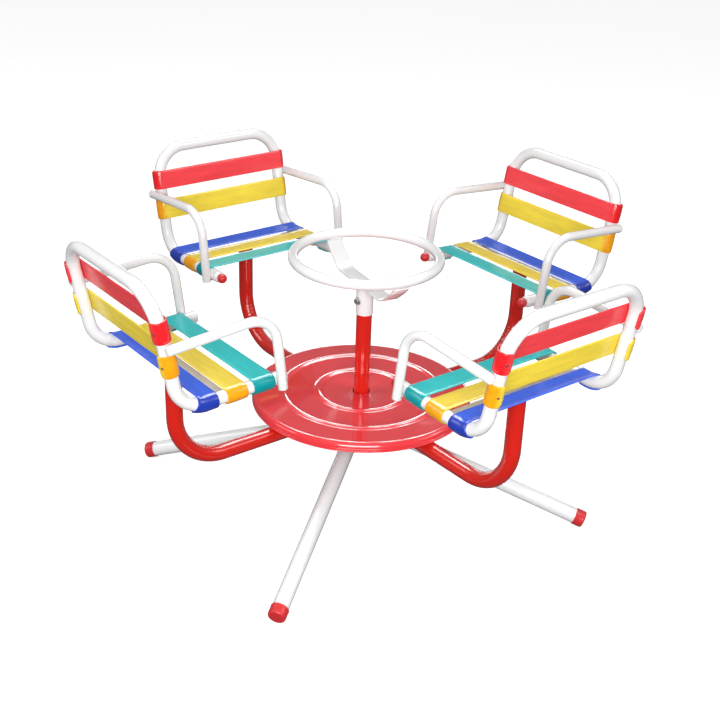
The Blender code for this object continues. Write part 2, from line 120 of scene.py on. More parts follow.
# Straps: middle and width. Seat straps are measured along the tube from the rail's front end, back
# straps down from the top of the upright
SEAT_STRAPS = {"seat_strap_teal": (0.057, 0.048), "seat_strap_yellow": (0.118, 0.046),
               "seat_strap_blue": (0.184, 0.048)}
BACK_STRAPS = {"back_strap_yellow": (0.1445, 0.048), "back_strap_red": (0.0735, 0.045)}
STRAP_WRAP = math.radians(206.0)
RIVET_TURN = math.radians(157.0)

# The camera, from the photograph's perspective
CAMERA_FOCAL_LENGTH = 59.70
CAMERA_SENSOR = 36.0
CAMERA_DISTANCE = 2.74334
CAMERA_AZIMUTH = math.radians(51.214)
CAMERA_ELEVATION = math.radians(27.491)
CAMERA_ROLL = math.radians(2.157)
CAMERA_AIM = Vector((-0.005554, 0.0, 0.079272))

# The studio: the floor's own glow, the surround's strength, and the lamps with their place, size and power
FLOOR_GLOW = 0.62
SURROUND_BELOW = 0.12
SURROUND_LEVEL = 0.22
SURROUND_ABOVE = 0.48
SOFT_BOXES = {
    "front_light": ((0.0, -2.9, 1.35), (2.0, 1.4), 95.0),
    "left_light": ((-3.0, -0.6, 2.2), (1.6, 1.6), 28.0),
    "right_light": ((3.0, -0.6, 2.2), (1.6, 1.6), 26.0),
    "overhead_light": ((0.0, 1.6, 3.6), (3.0, 0.30), 20.0),
}
# Lamps that show only as highlights on glossy paint
SHEEN_BOXES = {
    "overhead_sheen": ((0.0, 1.7, 3.4), (3.2, 1.3), 130.0),
    "low_sheen": ((0.0, 4.5, 0.75), (6.0, 0.5), 55.0),
}

SEAT_CROSS = Vector((0.0, 1.0, 0.0))


# Shader nodes

def blank_material(name):
    """A new material with its node tree, its main shader and a source of object coordinates."""
    made = bpy.data.materials.new(name)
    made.use_nodes = True
    tree = made.node_tree
    shader = tree.nodes["Principled BSDF"]
    place = tree.nodes.new("ShaderNodeTexCoord").outputs["Object"]
    return made, tree, shader, place


def noise_value(tree, place, scale, detail=2.0, low=0.0, high=1.0):
    """A noise of the given scale, spread between two values."""
    pattern = tree.nodes.new("ShaderNodeTexNoise")
    pattern.inputs["Scale"].default_value = scale
    pattern.inputs["Detail"].default_value = detail
    tree.links.new(place, pattern.inputs["Vector"])
    spread = tree.nodes.new("ShaderNodeMapRange")
    spread.inputs["From Min"].default_value = 0.3
    spread.inputs["From Max"].default_value = 0.7
    spread.inputs["To Min"].default_value = low
    spread.inputs["To Max"].default_value = high
    tree.links.new(pattern.outputs["Fac"], spread.inputs["Value"])
    return spread.outputs["Result"]


def cell_value(tree, place, scale):
    """The distance to the nearest of many small cells, for grain."""
    pattern = tree.nodes.new("ShaderNodeTexVoronoi")
    pattern.feature = "SMOOTH_F1"
    pattern.inputs["Scale"].default_value = scale
    tree.links.new(place, pattern.inputs["Vector"])
    return pattern.outputs["Distance"]


def colour_between(tree, share, first, second):
    """A colour that changes from the first to the second with the share."""
    mixer = tree.nodes.new("ShaderNodeMix")
    mixer.data_type = "RGBA"
    mixer.inputs["A"].default_value = (*first, 1.0)
    mixer.inputs["B"].default_value = (*second, 1.0)
    tree.links.new(share, mixer.inputs["Factor"])
    return mixer.outputs["Result"]


def relief(tree, height, depth, below=None):
    """A bump of the given depth, on top of another one."""
    bump = tree.nodes.new("ShaderNodeBump")
    bump.inputs["Strength"].default_value = 1.0
    bump.inputs["Distance"].default_value = depth
    tree.links.new(height, bump.inputs["Height"])
    if below:
        tree.links.new(below, bump.inputs["Normal"])
    return bump.outputs["Normal"]


def shaded(colour, share):
    return tuple(part * share for part in colour)


# Materials

def coating(name, colour, roughness, coat, peel_depth, change):
    """Paint baked on steel: a slight orange peel, uneven gloss and a faint change of tone."""
    made, tree, shader, place = blank_material(name)
    tone = noise_value(tree, place, 9.0, 3.0)
    tree.links.new(colour_between(tree, tone, shaded(colour, 1.0 - change), colour), shader.inputs["Base Color"])
    gloss = noise_value(tree, place, 60.0, 4.0, roughness - 0.04, roughness + 0.05)
    tree.links.new(gloss, shader.inputs["Roughness"])
    slow = relief(tree, noise_value(tree, place, 90.0, 1.0), peel_depth * 2.0)
    peel = relief(tree, noise_value(tree, place, 620.0, 2.0), peel_depth, slow)
    tree.links.new(peel, shader.inputs["Normal"])
    shader.inputs["Coat Weight"].default_value = coat
    shader.inputs["Coat Roughness"].default_value = 0.06
    return made


def vinyl(name, colour, wrap_shade_colour):
    """Soft plastic strap: streaks along its length, partly painted reflection streaks, fine grain and slow waves.
    Where it lies round a tube its colour is a painted shade, deeper and darker."""
    made, tree, shader, place = blank_material(name)
    # Painted shade on the wraps: the colour turns deeper and darker as far as the strap has turned round the tube.
    painted_wrap_shade = tree.nodes.new("ShaderNodeAttribute")
    painted_wrap_shade.attribute_name = "painted_wrap_shade"
    # Darker streaks of tone drawn out along the strap: random tone, and partly a painted stand-in for reflection
    # streaks.
    drawn_out = tree.nodes.new("ShaderNodeMapping")
    drawn_out.inputs["Scale"].default_value = (1.0, 0.14, 1.0)
    tree.links.new(place, drawn_out.inputs["Vector"])
    tone = noise_value(tree, drawn_out.outputs["Vector"], 95.0, 3.0, 0.86, 1.0)
    flat_colour = colour_between(tree, tone, (0.0, 0.0, 0.0), colour)
    painted_shade_colour = colour_between(tree, tone, (0.0, 0.0, 0.0), wrap_shade_colour)
    mixer = tree.nodes.new("ShaderNodeMix")
    mixer.data_type = "RGBA"
    tree.links.new(painted_wrap_shade.outputs["Fac"], mixer.inputs["Factor"])
    tree.links.new(flat_colour, mixer.inputs["A"])
    tree.links.new(painted_shade_colour, mixer.inputs["B"])
    tree.links.new(mixer.outputs["Result"], shader.inputs["Base Color"])
    gloss = noise_value(tree, place, 120.0, 3.0, 0.14, 0.24)
    tree.links.new(gloss, shader.inputs["Roughness"])
    wave = relief(tree, noise_value(tree, place, 55.0, 2.0), 0.00022)
    grain = relief(tree, cell_value(tree, place, 900.0), 0.000012, wave)
    tree.links.new(grain, shader.inputs["Normal"])
    shader.inputs["Specular IOR Level"].default_value = 0.6
    return made


def moulded_plastic():
    """Red caps: an eroded mould finish with a satin skin."""
    made, tree, shader, place = blank_material("red_plastic_moulded")
    colour = (0.66, 0.030, 0.034)
    tone = noise_value(tree, place, 55.0, 4.0)
    tree.links.new(colour_between(tree, tone, shaded(colour, 0.86), colour), shader.inputs["Base Color"])
    gloss = noise_value(tree, place, 300.0, 2.0, 0.24, 0.38)
    tree.links.new(gloss, shader.inputs["Roughness"])
    tree.links.new(relief(tree, noise_value(tree, place, 1500.0, 2.0), 0.00002), shader.inputs["Normal"])
    return made


def plated_steel(name, dull, bright):
    """Zinc plate on bolts and rivets: grey metal with cloudy gloss and fine scratches."""
    made, tree, shader, place = blank_material(name)
    tone = noise_value(tree, place, 240.0, 4.0)
    tree.links.new(colour_between(tree, tone, dull, bright), shader.inputs["Base Color"])
    gloss = noise_value(tree, place, 420.0, 3.0, 0.26, 0.46)
    tree.links.new(gloss, shader.inputs["Roughness"])
    tree.links.new(relief(tree, noise_value(tree, place, 2200.0, 2.0), 0.00001), shader.inputs["Normal"])
    shader.inputs["Metallic"].default_value = 1.0
    return made


def floor_paint():
    """Plain white studio floor, lit through from below so that it holds hardly any shadow."""
    made, tree, shader, place = blank_material("studio_floor")
    tone = noise_value(tree, place, 0.8, 2.0)
    tree.links.new(colour_between(tree, tone, (0.78, 0.78, 0.78), (0.80, 0.80, 0.80)), shader.inputs["Base Color"])
    shader.inputs["Roughness"].default_value = 0.9
    shader.inputs["Specular IOR Level"].default_value = 0.0
    shader.inputs["Emission Color"].default_value = (1.0, 1.0, 1.0, 1.0)
    shader.inputs["Emission Strength"].default_value = FLOOR_GLOW
    return made


LOOKS = {
    "white_paint": coating("white_paint_coated", (0.86, 0.86, 0.865), 0.22, 0.4, 0.000010, 0.02),
    "red_paint": coating("red_paint_coated", (0.66, 0.012, 0.005), 0.18, 0.8, 0.000012, 0.06),
    "disc_enamel": coating("disc_enamel_coated", (0.86, 0.042, 0.055), 0.14, 1.0, 0.000010, 0.04),
    "red_plastic": moulded_plastic(),
    # Each vinyl's second colour is the painted shade on its wraps round the tubes.
    "red_vinyl": vinyl("red_vinyl_strap", (0.96, 0.060, 0.075), (0.80, 0.014, 0.020)),
    "yellow_vinyl": vinyl("yellow_vinyl_strap", (1.0, 0.76, 0.065), (0.95, 0.38, 0.006)),
    "blue_vinyl": vinyl("blue_vinyl_strap", (0.035, 0.130, 0.86), (0.016, 0.045, 0.42)),
    "teal_vinyl": vinyl("teal_vinyl_strap", (0.020, 0.60, 0.61), (0.0, 0.30, 0.32)),
    "zinc": plated_steel("zinc_plated", (0.22, 0.22, 0.23), (0.40, 0.40, 0.41)),
}
BRIGHT_ZINC = plated_steel("zinc_bright", (0.60, 0.60, 0.61), (0.85, 0.85, 0.86))


# Forms

def skin(form, rings, closed=False, caps=True):
    """Join rings of points into a surface. A ring of one point closes to that point."""
    made = [[form.verts.new(point) for point in ring] for ring in rings]
    pairs = list(zip(made, made[1:]))
    if closed:
        pairs.append((made[-1], made[0]))
    for first, second in pairs:
        count = max(len(first), len(second))
        for index in range(count):
            after = (index + 1) % count
            if len(first) == 1:
                form.faces.new((first[0], second[after], second[index]))
            elif len(second) == 1:
                form.faces.new((first[index], first[after], second[0]))
            else:
                form.faces.new((first[index], first[after], second[after], second[index]))
    if caps and not closed:
        for ring in (made[0], made[-1]):
            if len(ring) > 2:
                form.faces.new(ring)
    return form


def bent_path(corners, bends, steps):
    """Round the inner corners of a line of points with arcs of the given radii."""
    points = [Vector(corners[0])]
    for before, corner, after, bend in zip(corners, corners[1:], corners[2:], bends):
        corner = Vector(corner)
        arrive = (corner - Vector(before)).normalized()
        leave = (Vector(after) - corner).normalized()
        turn = arrive.angle(leave)
        start = corner - arrive * bend * math.tan(turn / 2)
        side = (leave - arrive * arrive.dot(leave)).normalized()
        centre = start + side * bend
        for step in range(steps + 1):
            swing = turn * step / steps
            points.append(centre + arrive * bend * math.sin(swing) - side * bend * math.cos(swing))
    points.append(Vector(corners[-1]))
    return points


def evenly(points, spacing):
    """Points at an even spacing along a line of points."""
    lengths = [(after - before).length for before, after in zip(points, points[1:])]
    count = max(2, round(sum(lengths) / spacing))
    found = []
    walked = 0.0
    index = 0
    for step in range(count + 1):
        mark = sum(lengths) * step / count
        while index < len(lengths) - 1 and walked + lengths[index] < mark:
            walked += lengths[index]
            index += 1
        share = (mark - walked) / lengths[index]
        found.append(points[index].lerp(points[index + 1], share))
    return found


def tube_rings(points, radius, sides, level=None, closed=False):
    """Rings of points round a path. The radius may depend on the distance walked and on the angle,
    which is measured from the side that the path's own plane faces."""
    count = len(points)
    rings = []
    side = None
    walked = 0.0
    for index, point in enumerate(points):
        before = points[index - 1] if closed or index else points[0]
        after = points[(index + 1) % count] if closed or index < count - 1 else points[-1]
        tangent = (after - before).normalized()
        if level is not None:
            side = level
        elif side is None:
            side = tangent.orthogonal().normalized()
        side = (side - tangent * side.dot(tangent)).normalized()
        across = tangent.cross(side)
        ring = []
        for number in range(sides):
            swing = 2 * math.pi * number / sides
            size = radius(walked, swing) if callable(radius) else radius
            ring.append(point + side * size * math.cos(swing) + across * size * math.sin(swing))
        rings.append(ring)
        if index < count - 1:
            walked += (points[index + 1] - point).length
    return rings


def rounded_end(ring, end, inner, depth):
    """Rings that round off a tube's end, from the end inwards."""
    inward = (inner - end).normalized()
    rings = []
    for step in range(5):
        swing = math.radians(90.0 - 22.5 * step)
        back = depth * (1 - math.sin(swing))
        drawn_in = depth * (1 - math.cos(swing))
        rings.append([end + inward * back + (point - end) * (1 - drawn_in / (point - end).length) for point in ring])
    return rings


def rounded_ends(rings, points, first, last):
    """Round off both ends of a tube by their own depths."""
    start = rounded_end(rings[0], points[0], points[1], first)
    finish = rounded_end(rings[-1], points[-1], points[-2], last)
    return start + rings[1:-1] + finish[::-1]


def bar(form, points, radius, sides=28, level=None, soft=0.0008):
    rings = tube_rings(points, radius, sides, level)
    return skin(form, rounded_ends(rings, points, soft, soft))


def turned(form, profile, sides, place=None, closed=False):
    """Revolve a profile of (radius, height) about Z, then move it to its place."""
    place = place or Matrix.Identity(4)
    rings = []
    for radius, height in profile:
        if radius < 1e-6:
            rings.append([place @ Vector((0.0, 0.0, height))])
            continue
        swings = [2 * math.pi * index / sides for index in range(sides)]
        rings.append([place @ Vector((radius * math.cos(s), radius * math.sin(s), height)) for s in swings])
    return skin(form, rings, closed, caps=False)


def softened(profile, depth, closed=False):
    """Cut the corners of a profile so that they read as soft edges."""
    points = [Vector(point) for point in profile]
    count = len(points)
    found = []
    for index, point in enumerate(points):
        if not closed and index in (0, count - 1):
            found.append(tuple(point))
            continue
        before = points[index - 1]
        after = points[(index + 1) % count]
        reach = min(depth, (before - point).length / 3, (after - point).length / 3)
        for step in range(4):
            share = step / 3
            start = point + (before - point).normalized() * reach
            end = point + (after - point).normalized() * reach
            low = start.lerp(point, share)
            high = point.lerp(end, share)
            found.append(tuple(low.lerp(high, share)))
    return found


def weld_bead(form, points, size, closed=True):
    """A rippled bead of weld along a line of points."""
    line = evenly(points + points[:1], 0.0011) if closed else evenly(points, 0.0011)
    if closed:
        line = line[:-1]
    pitch = 0.0034

    def radius(walked, swing):
        ripple = math.sin(2 * math.pi * walked / pitch)
        wander = noise.noise(Vector((walked * 130.0, size * 900.0, 0.5)))
        return size * (1.0 + 0.14 * ripple + 0.22 * wander)

    rings = tube_rings(line, radius, 8, closed=closed)
    return skin(form, rings, closed=closed)


def pierce(origin, direction, radius):
    """Where a line that starts inside an upright cylinder round the pole leaves it."""
    a = direction.x ** 2 + direction.y ** 2
    b = 2 * (origin.x * direction.x + origin.y * direction.y)
    c = origin.x ** 2 + origin.y ** 2 - radius ** 2
    reach = (-b + math.sqrt(b * b - 4 * a * c)) / (2 * a)
    return origin + direction * reach


def seam_with_hub(centre, direction, tube_radius, hub_radius, count=64):
    """The line on which a tube meets an upright hub."""
    side = direction.orthogonal().normalized()
    across = direction.cross(side)
    points = []
    for index in range(count):
        swing = 2 * math.pi * index / count
        start = centre + side * tube_radius * math.cos(swing) + across * tube_radius * math.sin(swing)
        points.append(pierce(start, direction, hub_radius))
    return points


def to_piece(form, name, slot, body, nodes=(), look=None, sharp=38.0):
    """Turn a bmesh into a piece with its material. It rides on a body and may stand for CAD nodes."""
    bmesh.ops.recalc_face_normals(form, faces=form.faces)
    mesh = bpy.data.meshes.new(name)
    form.to_mesh(mesh)
    form.free()
    mesh.materials.append(look or LOOKS[slot])
    mesh.polygons.foreach_set("use_smooth", [True] * len(mesh.polygons))
    mesh.set_sharp_from_angle(angle=math.radians(sharp))
    return place_piece(mesh, name, body, nodes, Matrix.Identity(4))


def place_piece(mesh, name, body, nodes, matrix):
    piece = bpy.data.objects.new(name, mesh)
    bpy.context.scene.collection.objects.link(piece)
    piece.matrix_world = matrix
    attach(piece, body)
    if nodes:
        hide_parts(*nodes)
    return piece


def seat_places():
    """Each seat's name, with the matrix from the seat's own axes to the frame."""
    for place, angle in SEATS.items():
        yield place, Matrix.Translation((0, 0, DISC_HEIGHT)) @ Matrix.Rotation(math.radians(angle), 4, "Z")


def four_pieces(form, name, slot, node=None, sharp=38.0, left_out=""):
    """Turn a form drawn in a seat's own axes into the same piece at every seat but the one left out."""
    bmesh.ops.recalc_face_normals(form, faces=form.faces)
    mesh = bpy.data.meshes.new(name)
    form.to_mesh(mesh)
    form.free()
    mesh.materials.append(LOOKS[slot])
    mesh.polygons.foreach_set("use_smooth", [True] * len(mesh.polygons))
    mesh.set_sharp_from_angle(angle=math.radians(sharp))
    for place, matrix in seat_places():
        nodes = (node + "_" + place,) if node else ()
        if place != left_out:
            place_piece(mesh, name + "_" + place, "rotor", nodes, matrix)


# Fasteners, drawn along +Z with the seating face at zero

def rivet(form, place, radius):
    """A domed rivet head."""
    height = radius * 0.42
    profile = [(radius * 0.94, 0.0), (radius, height * 0.25)]
    for step in range(1, 6):
        swing = math.radians(90.0 * step / 5)
        profile.append((radius * math.cos(swing), height * (0.25 + 0.75 * math.sin(swing))))
    profile[-1] = (0.0, height)
    return turned(form, profile, 20, place)


def hexagon_bolt(form, place, across=0.010, head=0.0045, washer=0.0072):
    """A washer and a hexagon head with a chamfered top."""
    ring = softened([(0.0, 0.0), (washer, 0.0), (washer, 0.0013), (0.0, 0.0013)], 0.0003)
    turned(form, ring, 28, place)
    corner = across / 2 / math.cos(math.radians(30.0))
    top = 0.0013 + head
    profile = [(0.0, 0.001), (corner, 0.001), (corner, top - 0.0009), (corner * 0.93, top - 0.0003),
               (corner * 0.84, top), (0.0, top)]
    return turned(form, profile, 6, place)


# The seat's lines

def seat_lines():
    """Return the knee point and the directions of the rail and of the back."""
    rail = Vector((math.cos(RAIL_SLOPE), 0.0, -math.sin(RAIL_SLOPE)))
    back = Vector((math.sin(BACK_LEAN), 0.0, math.cos(BACK_LEAN)))
    knee = Vector((SEAT_FRONT, 0.0, SEAT_HEIGHT)) + rail * ((SEAT_BACK - SEAT_FRONT) / math.cos(RAIL_SLOPE))
    return knee, rail, back


KNEE, RAIL, BACK = seat_lines()
RAIL_END = Vector((SEAT_FRONT, 0.0, SEAT_HEIGHT))
RAIL_UP = Vector((math.sin(RAIL_SLOPE), 0.0, math.cos(RAIL_SLOPE)))
SIDE_LINE = bent_path([RAIL_END, KNEE, KNEE + BACK * BACK_LENGTH], (KNEE_BEND,), 40)


def along_side(distance):
    """The point and the direction at a distance along the frame's side line from the rail's end."""
    walked = 0.0
    for before, after in zip(SIDE_LINE, SIDE_LINE[1:]):
        length = (after - before).length
        if walked + length >= distance or after is SIDE_LINE[-1]:
            return before.lerp(after, (distance - walked) / length), (after - before).normalized()
        walked += length


def side_length():
    return sum((after - before).length for before, after in zip(SIDE_LINE, SIDE_LINE[1:]))


# Pieces of the seats

def arm_top():
    """The point of the rails' middle plane over the arm."""
    return RAIL_END + RAIL * (ARM_REACH - SEAT_FRONT)


def crossbar(form):
    """The flat strip with soft edges between the rails, welded to them on both faces."""
    centre = arm_top()
    half = CROSSBAR_WIDTH / 2
    outline = softened([(-half, CROSSBAR_FOOT), (half, CROSSBAR_FOOT), (half, CROSSBAR_TOP),
                        (-half, CROSSBAR_TOP)], 0.0010, closed=True)
    rings = []
    for across in (-SEAT_HALF_WIDTH, SEAT_HALF_WIDTH):
        rings.append([centre + SEAT_CROSS * across + RAIL * a + RAIL_UP * b for a, b in outline])
    skin(form, rings)
    bead = 0.0014
    for height, outwards in ((CROSSBAR_TOP, 1.0), (CROSSBAR_FOOT, -1.0)):
        level = height + outwards * bead * 0.3
        reach = math.sqrt(SEAT_TUBE_RADIUS ** 2 - level ** 2)
        for sideways in SIDES.values():
            middle = centre + SEAT_CROSS * sideways * (SEAT_HALF_WIDTH - reach) + RAIL_UP * level
            weld_bead(form, [middle - RAIL * half * 0.9, middle + RAIL * half * 0.9], bead, closed=False)


def seat_frames():
    """The bent tube of each seat, with rounded rail ends and the flat crossbar that stands on the arm."""
    left = SEAT_CROSS * SEAT_HALF_WIDTH
    top = KNEE + BACK * BACK_LENGTH
    corners = [RAIL_END + left, KNEE + left, top + left, top - left, KNEE - left, RAIL_END - left]
    path = bent_path(corners, (KNEE_BEND, CORNER_BEND, CORNER_BEND, KNEE_BEND), 26)
    form = bar(bmesh.new(), path, SEAT_TUBE_RADIUS, 32, soft=RAIL_END_ROUNDING)
    crossbar(form)
    four_pieces(form, "seat_frame_tube", "white_paint", "seat_frame")


def strap_path(wrap):
    """The strap's middle line in its (across, facing) plane, with its outward direction and the
    distance to its nearer end."""
    radius = SEAT_TUBE_RADIUS + GAP + STRAP_THICKNESS / 2
    steps = 40
    side = []
    for step in range(steps + 1):
        swing = math.pi / 2 - wrap * (1 - step / steps)
        side.append((SEAT_HALF_WIDTH + radius * math.cos(swing), radius * math.sin(swing),
                     math.cos(swing), math.sin(swing), radius * wrap * step / steps))
    span = 2 * SEAT_HALF_WIDTH
    flat = []
    count = 84
    for step in range(1, count):
        share = step / count
        flat.append((SEAT_HALF_WIDTH - span * share, radius, 0.0, 1.0,
                     radius * wrap + span * min(share, 1 - share)))
    mirrored = [(-a, b, -na, nb, d) for a, b, na, nb, d in reversed(side)]
    return side + flat + mirrored


def strap_section(half_width, half_thickness):
    """The outline of the strap's cross-section: (share of the width, offset outwards)."""
    points = []
    flat_steps = 8
    for step in range(flat_steps + 1):
        points.append((half_width - half_thickness) * (-1 + 2 * step / flat_steps))
    outline = [(w, half_thickness) for w in points]
    for swing in (60.0, 30.0, 0.0, -30.0, -60.0):
        outline.append((half_width - half_thickness * (1 - math.cos(math.radians(swing))),
                        half_thickness * math.sin(math.radians(swing))))
    outline += [(w, -half_thickness) for w in reversed(points)]
    for swing in (-60.0, -30.0, 0.0, 30.0, 60.0):
        outline.append((-half_width + half_thickness * (1 - math.cos(math.radians(swing))),
                        half_thickness * math.sin(math.radians(swing))))
    return outline


def mark_painted_wrap_shade(form):
    """Give each point a value that says how far it has turned round the tube from the strap's flat span. The vinyl
    paints shade on the wraps by this value.
    """
    layer = form.verts.layers.float.new("painted_wrap_shade")
    turn_depth = 0.011
    for point in form.verts:
        past_tube = abs(point.co.y) - SEAT_HALF_WIDTH
        point[layer] = min(1.0, max(0.0, past_tube / turn_depth))


def strap(name, middle, width, seed):
    """A vinyl strap across both tubes, on the child's side, carried round them and riveted behind.
    Its ends are rounded, and it is drawn into slight pleats where it turns round a tube."""
    form = bmesh.new()
    corner = 0.010
    half = STRAP_THICKNESS / 2
    rings = []
    for a, b, na, nb, to_end in strap_path(STRAP_WRAP):
        half_width = width / 2
        if to_end < corner:
            reach = max(to_end, 0.0006)
            half_width -= corner - math.sqrt(corner ** 2 - (corner - reach) ** 2)
        thickness = half * min(1.0, 0.35 + to_end / 0.0016)
        turning = math.exp(-((to_end - 0.049) / 0.016) ** 2)
        ring = []
        for w, n in strap_section(half_width, thickness):
            point, along = along_side(middle + w)
            facing = Vector((-along.z, 0.0, along.x))
            wave = 0.00030 * noise.noise(Vector((a * 16.0, w * 60.0, seed)))
            pleat = 0.00022 * turning * noise.noise(Vector((w * 200.0, to_end * 90.0, seed)))
            crown = 0.0006 * (1 - (2 * w / width) ** 2)
            lift = n + wave + pleat + (crown if n > 0 else 0.0)
            ring.append(point + SEAT_CROSS * (a + na * lift) + facing * (b + nb * lift))
        rings.append(ring)
    skin(form, rings)
    # The vinyl paints shade on the wraps by this mark.
    mark_painted_wrap_shade(form)
    four_pieces(form, name, name.split("_")[-1] + "_vinyl", name, sharp=60.0)


def strap_places():
    """Each strap's name with the distance of its middle along the side line, and its width."""
    length = side_length()
    for name, (middle, width) in SEAT_STRAPS.items():
        yield name, middle, width
    for name, (middle, width) in BACK_STRAPS.items():
        yield name, length - middle, width


def straps():
    for seed, (name, middle, width) in enumerate(strap_places(), start=1):
        strap(name, middle, width, float(seed))


def strap_rivets():
    """One rivet near each end of every strap, behind the tube and a little to its outer side."""
    form = bmesh.new()
    seat = SEAT_TUBE_RADIUS + GAP + STRAP_THICKNESS
    for name, middle, width in strap_places():
        point, along = along_side(middle)
        facing = Vector((-along.z, 0.0, along.x))
        for sideways in SIDES.values():
            swing = math.pi / 2 - RIVET_TURN
            outward = SEAT_CROSS * sideways * math.cos(swing) + facing * math.sin(swing)
            centre = point + SEAT_CROSS * sideways * SEAT_HALF_WIDTH + outward * (seat - 0.0002)
            rivet(form, Matrix.Translation(centre) @ outward.to_track_quat("Z", "Y").to_matrix().to_4x4(), 0.0030)
    four_pieces(form, "strap_rivets", "zinc")


def armrest_points(sideways):
    """The armrest's rear end, its corner above the rail's front end, and its foot."""
    offset = sideways * (SEAT_HALF_WIDTH + SEAT_TUBE_RADIUS + GAP + ARMREST_TUBE_RADIUS)
    joint = KNEE + BACK * ARMREST_HEIGHT
    rear = joint + Vector((ARMREST_REAR_STUB, offset, 0.0))
    length = (joint.x - ARMREST_FRONT) / math.cos(ARMREST_RISE)
    bend = joint + Vector((-math.cos(ARMREST_RISE), 0.0, math.sin(ARMREST_RISE))) * length
    bend.y = offset
    drop = bend.z - (SEAT_HEIGHT + ARMREST_FOOT)
    foot = bend + Vector((-math.tan(ARMREST_LEAN) * drop, 0.0, -drop))
    return joint, rear, bend, foot


def armrests():
    """A bent tube beside each upright and rail, open at its lower end."""
    for side, sideways in SIDES.items():
        joint, rear, bend, foot = armrest_points(sideways)
        path = bent_path([rear, bend, foot], (ARMREST_BEND,), 30)
        cut_edge = 0.0008
        rings = tube_rings(path, ARMREST_TUBE_RADIUS, 28, SEAT_CROSS)
        rings = rounded_ends(rings, path, ARMREST_END_ROUNDING, cut_edge)
        up_the_bore = (path[-2] - path[-1]).normalized()
        wall = 0.0014
        bore = [foot + (point - foot) * (1 - wall / (point - foot).length) for point in rings[-1]]
        deep = [point + up_the_bore * 0.02 for point in bore]
        form = skin(bmesh.new(), rings + [bore, deep])
        four_pieces(form, "armrest_tube_" + side, "white_paint", "armrest_" + side)


def armrest_bolts():
    """The bolts that hold each armrest to the upright and to the rail's front end, painted over."""
    form = bmesh.new()
    for sideways in SIDES.values():
        joint, rear, bend, foot = armrest_points(sideways)
        outward = SEAT_CROSS * sideways
        turn = outward.to_track_quat("Z", "Y").to_matrix().to_4x4()
        down = (foot - bend).normalized()
        low = bend + down * ((bend.z - SEAT_HEIGHT) / -down.z)
        high = Vector((joint.x, rear.y, joint.z))
        for centre in (low, high):
            place = Matrix.Translation(centre + outward * (ARMREST_TUBE_RADIUS - 0.0006)) @ turn
            rivet(form, place, 0.0032)
    four_pieces(form, "armrest_bolts", "white_paint")


def rail_caps():
    """A ball on the front end of each rail, flat where it sits, with a fine moulding seam round it."""
    seat = -math.asin((RAIL_BALL_CENTRE - GAP) / RAIL_BALL_RADIUS)
    steps = 28
    for side, sideways in SIDES.items():
        profile = [(0.0, GAP)]
        for step in range(steps):
            swing = seat + (math.pi / 2 - seat) * step / steps
            seam = 0.00025 * math.exp(-(swing / 0.06) ** 2)
            radius = RAIL_BALL_RADIUS - 0.0002 + seam
            profile.append((radius * math.cos(swing), RAIL_BALL_CENTRE + radius * math.sin(swing)))
        profile.append((0.0, RAIL_BALL_CENTRE + RAIL_BALL_RADIUS - 0.0002))
        turn = (-RAIL).to_track_quat("Z", "Y").to_matrix().to_4x4()
        place = Matrix.Translation(RAIL_END + SEAT_CROSS * sideways * SEAT_HALF_WIDTH) @ turn
        form = turned(bmesh.new(), profile, 32, place)
        four_pieces(form, "rail_ball_" + side, "red_plastic", "rail_cap_" + side, left_out=SEAT_WITHOUT_CAPS)


# Arms

def arms():
    """The bent tube under each seat, creased on the inside of its bend and cut level with the crossbar."""
    top = arm_top() + RAIL_UP * (CROSSBAR_FOOT - GAP)
    start = math.sqrt(ROTOR_HUB_RADIUS ** 2 - (MAIN_TUBE_RADIUS * 0.2) ** 2)
    corners = [(start, 0.0, ARM_CENTRE), (ARM_REACH, 0.0, ARM_CENTRE), (ARM_REACH, 0.0, top.z)]
    path = evenly(bent_path(corners, (ARM_BEND,), 60), 0.0022)
    straight = ARM_REACH - ARM_BEND - start
    bend_length = ARM_BEND * math.pi / 2
    pitch = 0.0105
    crease_depth = 0.0019

    def radius(walked, swing):
        share = (walked - straight) / bend_length
        if not 0.0 < share < 1.0:
            return MAIN_TUBE_RADIUS
        inside = max(0.0, math.sin(swing)) ** 3
        crease = 0.5 - 0.5 * math.cos(2 * math.pi * walked / pitch)
        window = math.sin(math.pi * share) ** 2
        return MAIN_TUBE_RADIUS - crease_depth * inside * crease * window

    rings = tube_rings(path, radius, 36, SEAT_CROSS)
    for ring in rings[-8:]:
        for point in ring:
            point.z = min(point.z, top.z - (point.x - top.x) * math.tan(RAIL_SLOPE))
    form = skin(bmesh.new(), rings)
    bead = 0.0022
    ring = []
    for step in range(60):
        swing = 2 * math.pi * step / 60
        x = ARM_REACH + MAIN_TUBE_RADIUS * math.cos(swing)
        level = top.z - (x - top.x) * math.tan(RAIL_SLOPE)
        ring.append(Vector((x, MAIN_TUBE_RADIUS * math.sin(swing), level - bead * 0.5)))
    weld_bead(form, ring, bead)
    seam = seam_with_hub(Vector((0.0, 0.0, ARM_CENTRE)), Vector((1.0, 0.0, 0.0)), MAIN_TUBE_RADIUS, ROTOR_HUB_RADIUS)
    weld_bead(form, seam, 0.0024)
    four_pieces(form, "arm_tube", "red_paint", "arm")


def seat_bolts():
    """Two bolts through each crossbar into the arm's closed top."""
    form = bmesh.new()
    turn = RAIL_UP.to_track_quat("Z", "Y").to_matrix().to_4x4()
    spread = 0.0095
    for across in (-spread, spread):
        spot = arm_top() + SEAT_CROSS * across + RAIL_UP * CROSSBAR_TOP
        hexagon_bolt(form, Matrix.Translation(spot) @ turn, 0.010, 0.0040, 0.0068)
    four_pieces(form, "seat_bolts", "zinc")


# Disc and hubs

